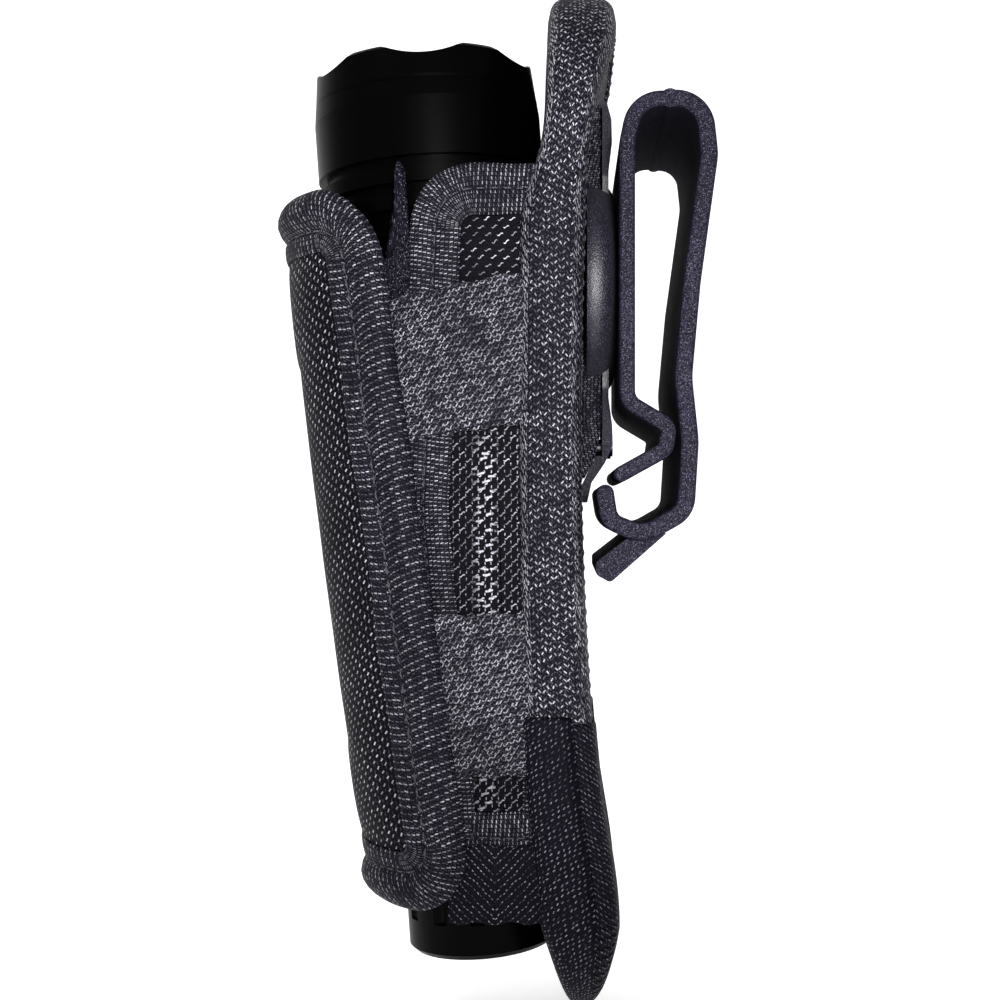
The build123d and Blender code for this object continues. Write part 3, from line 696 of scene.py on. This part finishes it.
NODE_FINISH = {
    "clip_plastic": ("clip_inner", "clip_outer"),
    "base_plastic": ("swivel_base", "swivel_washer"),
    "anodised_black": ("bezel_ring", "head_housing", "body_tube", "tail_cap"),
    "black_rubber": ("lens_gasket", "tail_o_ring", "head_o_ring", "button_boot"),
    "blackened_steel": ("pivot_nut", "pivot_screw", "base_rivets"),
    "black_board": ("led_board", "driver_board", "switch_board"),
    "white_plastic": ("centering_ring",),
    "chrome": ("reflector",),
    "brass_metal": ("driver_ring", "front_spring", "tail_spring", "switch_ring"),
    "steel_metal": ("battery_terminal",),
    "led_yellow": ("led_emitter",),
    "red_insulation": ("led_leads",),
    "cell_wrap": ("battery_cell",),
    "stiff_plastic": ("back_stiffener", "switch_body", "switch_plunger"),
    "clear_lens": ("lens",),
}
for finish_name, nodes in NODE_FINISH.items():
    for node in nodes:
        for node_slot in bpy.data.objects[node].material_slots:
            node_slot.material = materials[finish_name]

# ------------ front panel
half_top = wrap_edge(front_edge(FRONT_TOP), FRONT_TOP)
half_low = wrap_edge(front_edge(FRONT_BOTTOM), FRONT_BOTTOM)
panel_corners = [(-half_low, FRONT_BOTTOM), (half_low, FRONT_BOTTOM), (half_top, FRONT_TOP),
                 (-half_top, FRONT_TOP)]
panel_radii = [12] * 4


def front_place(u, z, out):
    """The front panel's place with the unevenness of sewn work."""
    return wrap(u + waver(u, z, 0.25, 14), z + waver(z, u, 0.25, 11), out + waver(u, z, 0.18, 9))


def front_spine(points):
    """The line down the front panel that its grid runs in to."""
    inner = np.clip(points[:, 1], FRONT_BOTTOM + 28, FRONT_TOP - 30)
    return np.stack((points[:, 0] * 0, inner), 1)


COVER_RIM, COVER_OUT, COVER_IN, COVER_CROWN = 8.2, 4.3, 2.7, 1.0
COVER_EDGE = [(COVER_RIM, COVER_OUT), (COVER_RIM - 1.6, 3.6), (COVER_RIM - 2.2, 3.1), (COVER_RIM - 1.6, 2.8),
              (COVER_RIM, COVER_IN)]
cover_outer = filled(panel_corners, panel_radii, COVER_RIM, front_spine,
                     lambda f: COVER_OUT + COVER_CROWN * (1 - (1 - f) ** 5), front_place, steps=18, pitch=COARSE)
cover_edge = swept(panel_corners, panel_radii, COVER_EDGE, front_place, pitch=COARSE)
cover_inner = filled(panel_corners, panel_radii, COVER_RIM, front_spine, lambda f: COVER_IN, front_place,
                     steps=9, pitch=COARSE)
front_face = piece("front_panel_face", [cover_outer, cover_edge, cover_inner], "panel_net")
swell(front_face, cover_outer[0][1:].reshape(-1, 3), 0.8, pressure=18.0)
refine(front_face)
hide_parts("front_cover")

# the tape's section: a flat wing on the face, a stitched groove, the padded roll and the turned-under back
PANEL_TAPE = [
    (10.3, 4.9), (10.2, 5.15), (9.6, 5.3), (8.4, 5.3), (7.4, 5.15), (6.95, 4.6), (6.55, 4.6), (6.1, 5.15),
    (5.2, 5.7), (4.0, 6.05), (2.8, 5.9), (1.6, 5.35), (0.7, 4.65), (0.1, 3.9), (0.1, 3.3), (0.6, 2.8), (1.6, 2.5),
    (4.0, 2.42), (8.0, 2.42), (8.6, 2.5), (8.6, 2.75), (7.0, 3.0), (6.5, 3.6), (7.4, 4.35), (10.3, 4.9),
]
front_tape = piece("front_panel_binding", [swept(panel_corners, panel_radii, PANEL_TAPE, front_place, pitch=0.5)],
                   "panel_tape")
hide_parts("front_binding")

lining_corners = [(-half_low + 3, FRONT_BOTTOM + 3), (half_low - 3, FRONT_BOTTOM + 3),
                  (half_top + 5.6, FRONT_TOP + 4.5), (-half_top - 5.6, FRONT_TOP + 4.5)]
lining_radii = [8, 8, 2.5, 2.5]


def lining_place(u, z, out):
    """The front lining's place: its upper edge dips between two ears."""
    share = np.clip((np.abs(u) - half_top - 0.5) / 4.0, 0, 1)
    dip = 16 * np.clip((z + 10) / 28, 0, 1) ** 2 * (1 - share * share * (3 - 2 * share))
    return wrap(u, z - dip + waver(u, z, 0.5, 6), out + waver(z, u, 0.15, 5))


def lining_spine(points):
    inner = np.clip(points[:, 1], FRONT_BOTTOM + 28, FRONT_TOP - 24)
    return np.stack((points[:, 0] * 0, inner), 1)


LINING_EDGE = [(1.0, 2.2), (0.3, 1.9), (0.0, 1.3), (0.3, 0.7), (1.0, 0.4)]
front_lining = piece("front_lining", [
    filled(lining_corners, lining_radii, 1.0, lining_spine, lambda f: 2.2, lining_place),
    swept(lining_corners, lining_radii, LINING_EDGE, lining_place),
    filled(lining_corners, lining_radii, 1.0, lining_spine, lambda f: 0.4, lining_place),
], "brushed_lining")
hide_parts("front_pad")

# ------------ side wings
WING_REAR, WING_FRONT, WING_BEND = -10.0, -36.5, -40
wing_corners = [(WING_REAR, WING_BOTTOM), (WING_REAR, WING_TOP), (WING_FRONT, WING_TOP),
                (front_edge(WING_BEND) - 3.9, WING_BEND), (front_edge(WING_BOTTOM) - 7.0, WING_BOTTOM)]
wing_radii = [1.2, 1.2, 11, 60, 4]
NET_RIM, NET_OUT, NET_IN, NET_CROWN = 6.5, 1.5, 0.7, 0.7
NET_EDGE = [(NET_RIM, NET_OUT), (5.6, 1.3), (5.3, 1.0), (5.6, 0.8), (NET_RIM, NET_IN)]
WING_TAPE = [
    (8.6, 1.75), (8.5, 2.15), (7.2, 2.35), (5.9, 2.3), (4.6, 2.15), (4.3, 1.95), (4.0, 2.15), (2.6, 2.5),
    (1.2, 2.3), (0.3, 1.7), (0.0, 1.1), (0.4, 0.5), (1.4, 0.1), (4.2, 0.05), (7.4, 0.1), (7.4, 0.5), (4.0, 0.9),
    (4.2, 1.3), (8.6, 1.75),
]


def wing_pieces(side, label):
    """The net and the tape of one wing."""
    def place(x, z, out):
        return flank(x, z + waver(x, z, 0.2, 8), out + waver(z, x, 0.12, 7), side)

    def spine(points):
        inner = np.clip(points[:, 1], WING_BOTTOM + 10, WING_TOP - 12)
        return np.stack((-23.5 - (inner - 17) * 0.02, inner), 1)

    def bulge(f):
        return NET_OUT + NET_CROWN * math.sin(f * math.pi / 2)

    face = filled(wing_corners, wing_radii, NET_RIM, spine, bulge, place, steps=9, pitch=COARSE)
    net = piece(f"wing_net_{label}", [
        face,
        swept(wing_corners, wing_radii, NET_EDGE, place, pitch=COARSE),
        filled(wing_corners, wing_radii, NET_RIM, spine, lambda f: NET_IN, place, steps=6, pitch=COARSE),
    ], "wing_net")
    swell(net, face[0][1:].reshape(-1, 3), 0.4)
    refine(net)
    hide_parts(f"side_wing_{label}")
    tape = piece(f"wing_tape_{label}", [swept(wing_corners, wing_radii, WING_TAPE, place, pitch=0.5)],
                 "wing_tape")
    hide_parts(f"wing_binding_{label}")


# ------------ elastic bands and cup strap
def band(name, node, side, material, low, high, reach, outer, inner, stretch):
    """A band round the flank: low and high give its edges' heights at the two ends of its reach in x."""
    front, rear = reach
    x = np.linspace(front, rear, 70)
    t = np.linspace(0, 1, 40)
    share = (x - front) / (rear - front)
    bottom = low[0] + (low[1] - low[0]) * share + 0.25 * np.sin(x * 1.1 + high[0])
    top = high[0] + (high[1] - high[0]) * share + 0.25 * np.sin(x * 0.9 + low[0])
    z = bottom[None, :] + (top - bottom)[None, :] * t[:, None]
    xs = np.broadcast_to(x[None, :], z.shape)
    swelling = stretch * np.sin(share[None, :] * math.pi) * np.sin(t[:, None] * math.pi)
    lift = outer + swelling + waver(xs, z, 0.12, 5)
    skin = flank(xs, z, lift, side)
    back = flank(xs, z, lift - (outer - inner), side)
    around = np.concatenate((skin, back[::-1], skin[:1]), 0)
    steps = np.linalg.norm(np.diff(around, axis=0), axis=2)
    v = np.concatenate((z[:1], z[:1] + np.cumsum(steps, axis=0)), 0)
    uv = np.stack(np.broadcast_arrays(x[None, :], v), -1)
    strap = piece(name, [(around, uv, False)], material)
    bevel = strap.modifiers.new("soft_edges", "BEVEL")
    bevel.width = 0.3 * MM
    bevel.segments = 2
    bevel.limit_method = "ANGLE"
    bevel.angle_limit = math.radians(40)
    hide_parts(node)


for side, label in ((-1, "left"), (1, "right")):
    wing_pieces(side, label)
    band(f"upper_band_{label}", f"upper_elastic_{label}", side, "elastic",
         low=(-28.6, -24.7), high=(-5.0, 0.1), reach=(-41.5, -16.0), outer=3.5, inner=2.2, stretch=0.5)
    band(f"lower_band_{label}", f"lower_elastic_{label}", side, "elastic",
         low=(-84.2, -83.3), high=(-57.0, -56.2), reach=(-34.5, -15.0), outer=3.4, inner=2.2, stretch=0.4)
    band(f"cup_strap_{label}", f"bottom_strap_{label}", side, "cup_web",
         low=(-108.6, -108.6), high=(-95.2, -95.6), reach=(-31.0, -13.5), outer=2.9, inner=0.6, stretch=0.4)

# ------------ back panel
def arc_through(start, middle, end, steps):
    """Points on the circle through three points, seen from behind."""
    (ax, ay), (bx, by), (cx, cy) = start, middle, end
    d = 2 * (ax * (by - cy) + bx * (cy - ay) + cx * (ay - by))
    ux = ((ax**2 + ay**2) * (by - cy) + (bx**2 + by**2) * (cy - ay) + (cx**2 + cy**2) * (ay - by)) / d
    uy = ((ax**2 + ay**2) * (cx - bx) + (bx**2 + by**2) * (ax - cx) + (cx**2 + cy**2) * (bx - ax)) / d
    radius = math.hypot(ax - ux, ay - uy)
    first = math.atan2(ay - uy, ax - ux)
    sweep = (math.atan2(cy - uy, cx - ux) - first) % (2 * math.pi)
    angles = first + sweep * np.linspace(0, 1, steps)
    return np.stack((ux + radius * np.cos(angles), uy + radius * np.sin(angles)), 1)


def back_ring(inset, pitch):
    """The back panel's outline, seen from behind, moved inwards."""
    upper, lower = HALF - inset, LOW_HALF - inset
    top = arc_through((upper, STRAIGHT_TOP), (0, PANEL_TOP - inset), (-upper, STRAIGHT_TOP),
                      int(TOP_ARC / pitch))
    low = arc_through((-lower, STRAIGHT_BOTTOM), (0, PANEL_BOTTOM + inset), (lower, STRAIGHT_BOTTOM),
                      int(LOW_ARC / pitch))
    steps = int((STRAIGHT_TOP - STRAIGHT_BOTTOM) / pitch)
    t = np.linspace(0, 1, steps)[1:-1, None]
    left = top[-1] * (1 - t) + low[0] * t
    right = low[-1] * (1 - t) + top[0] * t
    half = len(low) // 2
    return np.concatenate((low[half:], right, top, left, low[:half]))


def back_swept(section, pitch):
    """A tape along the back panel's outline; section lists (inset, through)."""
    rings = [back_ring(inset, pitch) for inset, _ in section]
    middle = rings[len(rings) // 2]
    u = lengths(loop(middle))
    points = np.stack([panel(*r.T, through) for r, (_, through) in zip(rings, section)])
    v = section_lengths(section)
    uv = np.stack(np.broadcast_arrays(u[None, :], v[:, None]), -1)
    return points, uv, True


def section_lengths(section):
    """The running length along a section of (inset, through)."""
    return lengths(np.array([(inset, through * PANEL_DEPTH) for inset, through in section]))


def back_filled(inset, through, crown, steps=16):
    """The inside of the back panel's outline, crowned by some millimetres towards the rear."""
    rim = back_ring(inset, COARSE)
    inner = np.clip(rim[:, 1], PANEL_BOTTOM + 24, PANEL_TOP - 30)
    centre = np.stack((rim[:, 0] * 0, inner), 1)
    fractions = np.linspace(0, 1, steps)
    flat = np.stack([rim + (centre - rim) * f for f in fractions])
    rise = np.stack([np.full(len(rim), crown * math.sin(f * math.pi / 2)) for f in fractions])
    points = panel(flat[..., 0], flat[..., 1], through)
    points[..., 0] += rise
    return points, np.concatenate((flat, flat[:, :1]), 1), True


# sections of the back panel's tape: its rounded edge, the wings on both faces and the way back inside
edge_section = []
for step in range(17):
    turn = math.radians(-90 + step * 180 / 16)
    fullness = math.copysign(abs(math.sin(turn)) ** 0.55, turn)
    edge_section.append((3.0 * (1 - math.cos(turn)), 0.5 + 0.5 * fullness))
tape_section = [(8.0, 0.01), (7.9, -0.03), (6.0, -0.04), (4.2, -0.03)]
tape_section += edge_section[1:-1]
tape_section += [(4.2, 1.03), (6.0, 1.04), (7.9, 1.03), (8.0, 0.99)]
inside_section = [(8.0, 0.99), (6.0, 0.93), (2.5, 0.75), (1.2, 0.5), (2.5, 0.25), (6.0, 0.07), (8.0, 0.01)]
back_edge = piece("back_panel_binding", [back_swept(tape_section + inside_section, 0.6)], "herringbone")
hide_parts("back_binding")


def back_sleeve(top, section, thick):
    """A tape folded over the panel's lower end: rows run across the tape, columns along its edge."""
    base = back_ring(0.0, 0.6)
    roll = len(base) // 2
    keep = np.roll(base, roll, 0)[:, 1] < top
    outer, inner = [], []
    for inset, through in section:
        for rows, shift in ((outer, 0.0), (inner, thick)):
            r = np.roll(back_ring(inset + shift * 0.7, 0.6), roll, 0)[keep]
            level = through + (shift * 0.06 if through < 0.5 else -shift * 0.06)
            rows.append(panel(*r.T, level))
    outer, inner = np.stack(outer), np.stack(inner)
    outer[:, 0], outer[:, -1] = inner[:, 0], inner[:, -1]
    points = np.concatenate((outer, inner[::-1], outer[:1]))
    run = lengths(outer[len(section) // 2])
    run = run - run[-1] / 2
    across = section_lengths(section)
    across = np.concatenate((across, across[::-1], across[:1]))
    return points, np.stack(np.broadcast_arrays(run[None, :], across[:, None]), -1), False


sleeve_section = [(6.5, -0.10), (4.2, -0.10)]
sleeve_section += [(inset - 0.55, 0.5 + (through - 0.5) * 1.14) for inset, through in edge_section[1:10]]
sleeve = piece("panel_end_sleeve", [back_sleeve(-72.9, sleeve_section, 0.6)], "coarse_sleeve")
heel_section = [(inset - 0.35, 0.5 + (through - 0.5) * 1.12) for inset, through in edge_section[9:-1]]
heel_section += [(4.2, 1.09), (7.6, 1.08)]
heel = piece("panel_end_heel_tape", [back_sleeve(-74.5, heel_section, 0.5)], "heel_tape")

BACK_RIM = 7.0
BACK_OUT, BACK_UNDER = 0.97, 0.85
BACK_IN, BACK_OVER = 0.03, 0.2
STRAP_REACH, STRAP_HEIGHT = 13, 36  # the part of the cover that the rear strap holds down
back_outer = back_filled(BACK_RIM, BACK_OUT, 0.1)
back_face = piece("back_panel_cover", [
    back_outer,
    back_swept([(BACK_RIM, BACK_OUT), (BACK_RIM, BACK_UNDER)], COARSE),
    back_filled(BACK_RIM, BACK_UNDER, 0.0, steps=6),
], "plain_cloth")
under_strap = np.abs(back_outer[0][..., 1]) < STRAP_REACH
under_strap &= np.abs(back_outer[0][..., 2]) < STRAP_HEIGHT
swell(back_face, back_outer[0][1:][~under_strap[1:]], 0.5)
refine(back_face)
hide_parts("back_cover", "back_pad")
back_inside = piece("back_panel_lining", [
    back_filled(BACK_RIM, BACK_IN, -0.2),
    back_swept([(BACK_RIM, BACK_IN), (BACK_RIM, BACK_OVER)], COARSE),
    back_filled(BACK_RIM, BACK_OVER, 0.0, steps=6),
], "brushed_lining")
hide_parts("back_lining")

# ------------ rear strap under the swivel base
STRAP_HALF, STRAP_TOP, STRAP_BOTTOM = 9.9, 31.5, -33.5
strap_y = np.linspace(-STRAP_HALF, STRAP_HALF, 24)
strap_z = np.linspace(STRAP_BOTTOM, STRAP_TOP, 60)
strap_x = smooth_curve((STRAP_TOP, 26, 19, 10, -10, -17, -22, -27, -31, -34.5),
                       (-5.7, -5.35, -5.5, -5.3, -5.3, -5.4, -5.2, -5.6, -6.7, -8.5))
grid_y, grid_z = np.meshgrid(strap_y, strap_z)
skin = np.stack((strap_x(grid_z), grid_y, grid_z), -1)
under = np.stack((np.minimum(panel_rear(grid_z) - 0.2, strap_x(grid_z) - 1.0), grid_y, grid_z), -1)
strap_points = np.concatenate((skin, under[:, ::-1], skin[:, :1]), 1)
strap_run = np.cumsum(np.linalg.norm(np.diff(strap_points, axis=1), axis=2), axis=1)
strap_run = np.concatenate((np.zeros((len(strap_z), 1)), strap_run), 1)
strap_uv = np.stack(np.broadcast_arrays(strap_run, strap_z[:, None]), -1)
rear_web = piece("rear_web", [(strap_points, strap_uv, False)], "plain_cloth")
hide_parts("rear_strap")

# ------------ stitches
def point_at(line, run, at):
    """The point at a running length along a line."""
    return np.array([np.interp(at, run, line[:, k]) for k in range(3)])


def stitches(name, path, lifted, pitch=2.5, length=1.7, radius=0.17):
    """A row of sewn stitches along a line of points; lifted is the same line raised off the cloth."""
    run = lengths(path)
    count = int(run[-1] / pitch)
    blocks = []
    sides = np.linspace(0, 2 * math.pi, 7)[:-1]
    for index in range(count):
        start = (index + 0.5) * pitch - length / 2
        rows = []
        for t in (0.0, 0.04, 0.25, 0.5, 0.75, 0.96, 1.0):
            at = start + t * length
            centre = point_at(path, run, at)
            up = point_at(lifted, run, at) - centre
            up /= np.linalg.norm(up)
            ahead = point_at(path, run, at + 0.3) - point_at(path, run, at - 0.3)
            aside = np.cross(up, ahead / np.linalg.norm(ahead))
            arch = math.sin(math.pi * t)
            size = radius * (0.02 if t in (0.0, 1.0) else 0.55 + 0.45 * arch)
            rows.append(centre + up * (arch * radius * 1.3 - radius * 0.5)
                        + size * (np.cos(sides)[:, None] * up + np.sin(sides)[:, None] * aside))
        points = np.stack(rows)
        uv = np.zeros((points.shape[0], points.shape[1] + 1, 2))
        blocks.append((points, uv, True))
    piece(name, blocks, "sewing_thread")


PANEL_GROOVE, WING_GROOVE, GROOVE_GRID = 6.75, 4.3, 0.5
groove = loop(ring(panel_corners, panel_radii, PANEL_GROOVE, GROOVE_GRID))
stitches("front_panel_stitches", front_place(*groove.T, 4.72), front_place(*groove.T, 5.5))
for side, label in ((-1, "left"), (1, "right")):
    groove = loop(ring(wing_corners, wing_radii, WING_GROOVE, GROOVE_GRID))
    x, z = groove.T
    z = z + waver(x, z, 0.2, 8)
    stitches(f"wing_stitches_{label}", flank(x, z, 2.05, side), flank(x, z, 3.0, side), pitch=2.2, length=1.5,
             radius=0.14)
groove = loop(back_ring(BACK_RIM, 0.6))
stitches("back_panel_stitches", panel(*groove.T, 1.03), panel(*groove.T, 1.2))

# ------------ studio
floor = Finish("studio_floor")
floor_tone = (0.93, 0.93, 0.93)
floor_shade = tuple(c * 0.985 for c in floor_tone)
floor.set(colour=floor.mix(floor.noise(*floor.place(), scale=0.01), floor_tone, floor_shade), roughness=0.8,
          Emission_Color=(1.0, 1.0, 1.0, 1.0), Emission_Strength=0.62)
# the floor runs back to where it turns up into the backdrop
floor_z = PANEL_BOTTOM - 1.5
FLOOR_FRONT, FLOOR_BACK, COVE, BACKDROP_TOP, STAGE_HALF = -1500, 600, 400, 1800, 2000
sweep_profile = [(FLOOR_FRONT, floor_z), (FLOOR_BACK, floor_z)]
for step in range(1, 13):
    turn = math.radians(step * 90 / 12)
    sweep_profile.append((FLOOR_BACK + COVE * math.sin(turn), floor_z + COVE * (1 - math.cos(turn))))
sweep_profile.append((FLOOR_BACK + COVE, BACKDROP_TOP))
stage_points = np.array([[(x, y, z) for x in np.linspace(-STAGE_HALF, STAGE_HALF, 9)] for y, z in sweep_profile],
                        float)
stage_mesh = bpy.data.meshes.new("studio_sweep")
rows, columns = stage_points.shape[:2]
quads = [(r * columns + c, r * columns + c + 1, (r + 1) * columns + c + 1, (r + 1) * columns + c)
         for r in range(rows - 1) for c in range(columns - 1)]
stage_mesh.from_pydata((stage_points.reshape(-1, 3) * MM).tolist(), [], quads)
stage_mesh.materials.append(materials["studio_floor"])
stage_mesh.polygons.foreach_set("use_smooth", [True] * len(stage_mesh.polygons))
studio = bpy.data.objects.new("studio_sweep", stage_mesh)
bpy.context.scene.collection.objects.link(studio)

world = bpy.data.worlds.new("studio_world")
world.use_nodes = True
world.node_tree.nodes["Background"].inputs[0].default_value = (1.0, 1.0, 1.0, 1.0)
world.node_tree.nodes["Background"].inputs[1].default_value = 0.34
bpy.context.scene.world = world


def lamp(name, kind, place, target, **settings):
    """A light at a place, in metres, aimed at a target."""
    light = bpy.data.lights.new(name, kind)
    for setting, value in settings.items():
        setattr(light, setting, value)
    holder = bpy.data.objects.new(name, light)
    bpy.context.scene.collection.objects.link(holder)
    holder.location = place
    holder.rotation_euler = (Vector(target) - Vector(place)).to_track_quat("-Z", "Y").to_euler()


lamp("key_light", "SPOT", (0.05, -0.42, 0.0), (-0.02, 0.0, -0.012), energy=9.0, spot_size=math.radians(31),
     spot_blend=1.0, shadow_soft_size=0.03)
lamp("top_light", "AREA", (-0.5, -0.4, 0.8), (0.0, 0.0, -0.03), energy=3.0, shape="DISK", size=0.5)

camera = bpy.data.cameras.new("photo_camera")
camera.lens = 52.2
camera.sensor_width = 36.0
camera.shift_x = -0.068
camera.shift_y = 0.008
camera.clip_start = 0.01
eye = bpy.data.objects.new("photo_camera", camera)
bpy.context.scene.collection.objects.link(eye)
eye.location = (-0.011, -0.260, -0.039)
eye.rotation_euler = (math.radians(90), 0, 0)
bpy.context.scene.camera = eye
bpy.context.scene.view_settings.view_transform = "Standard"
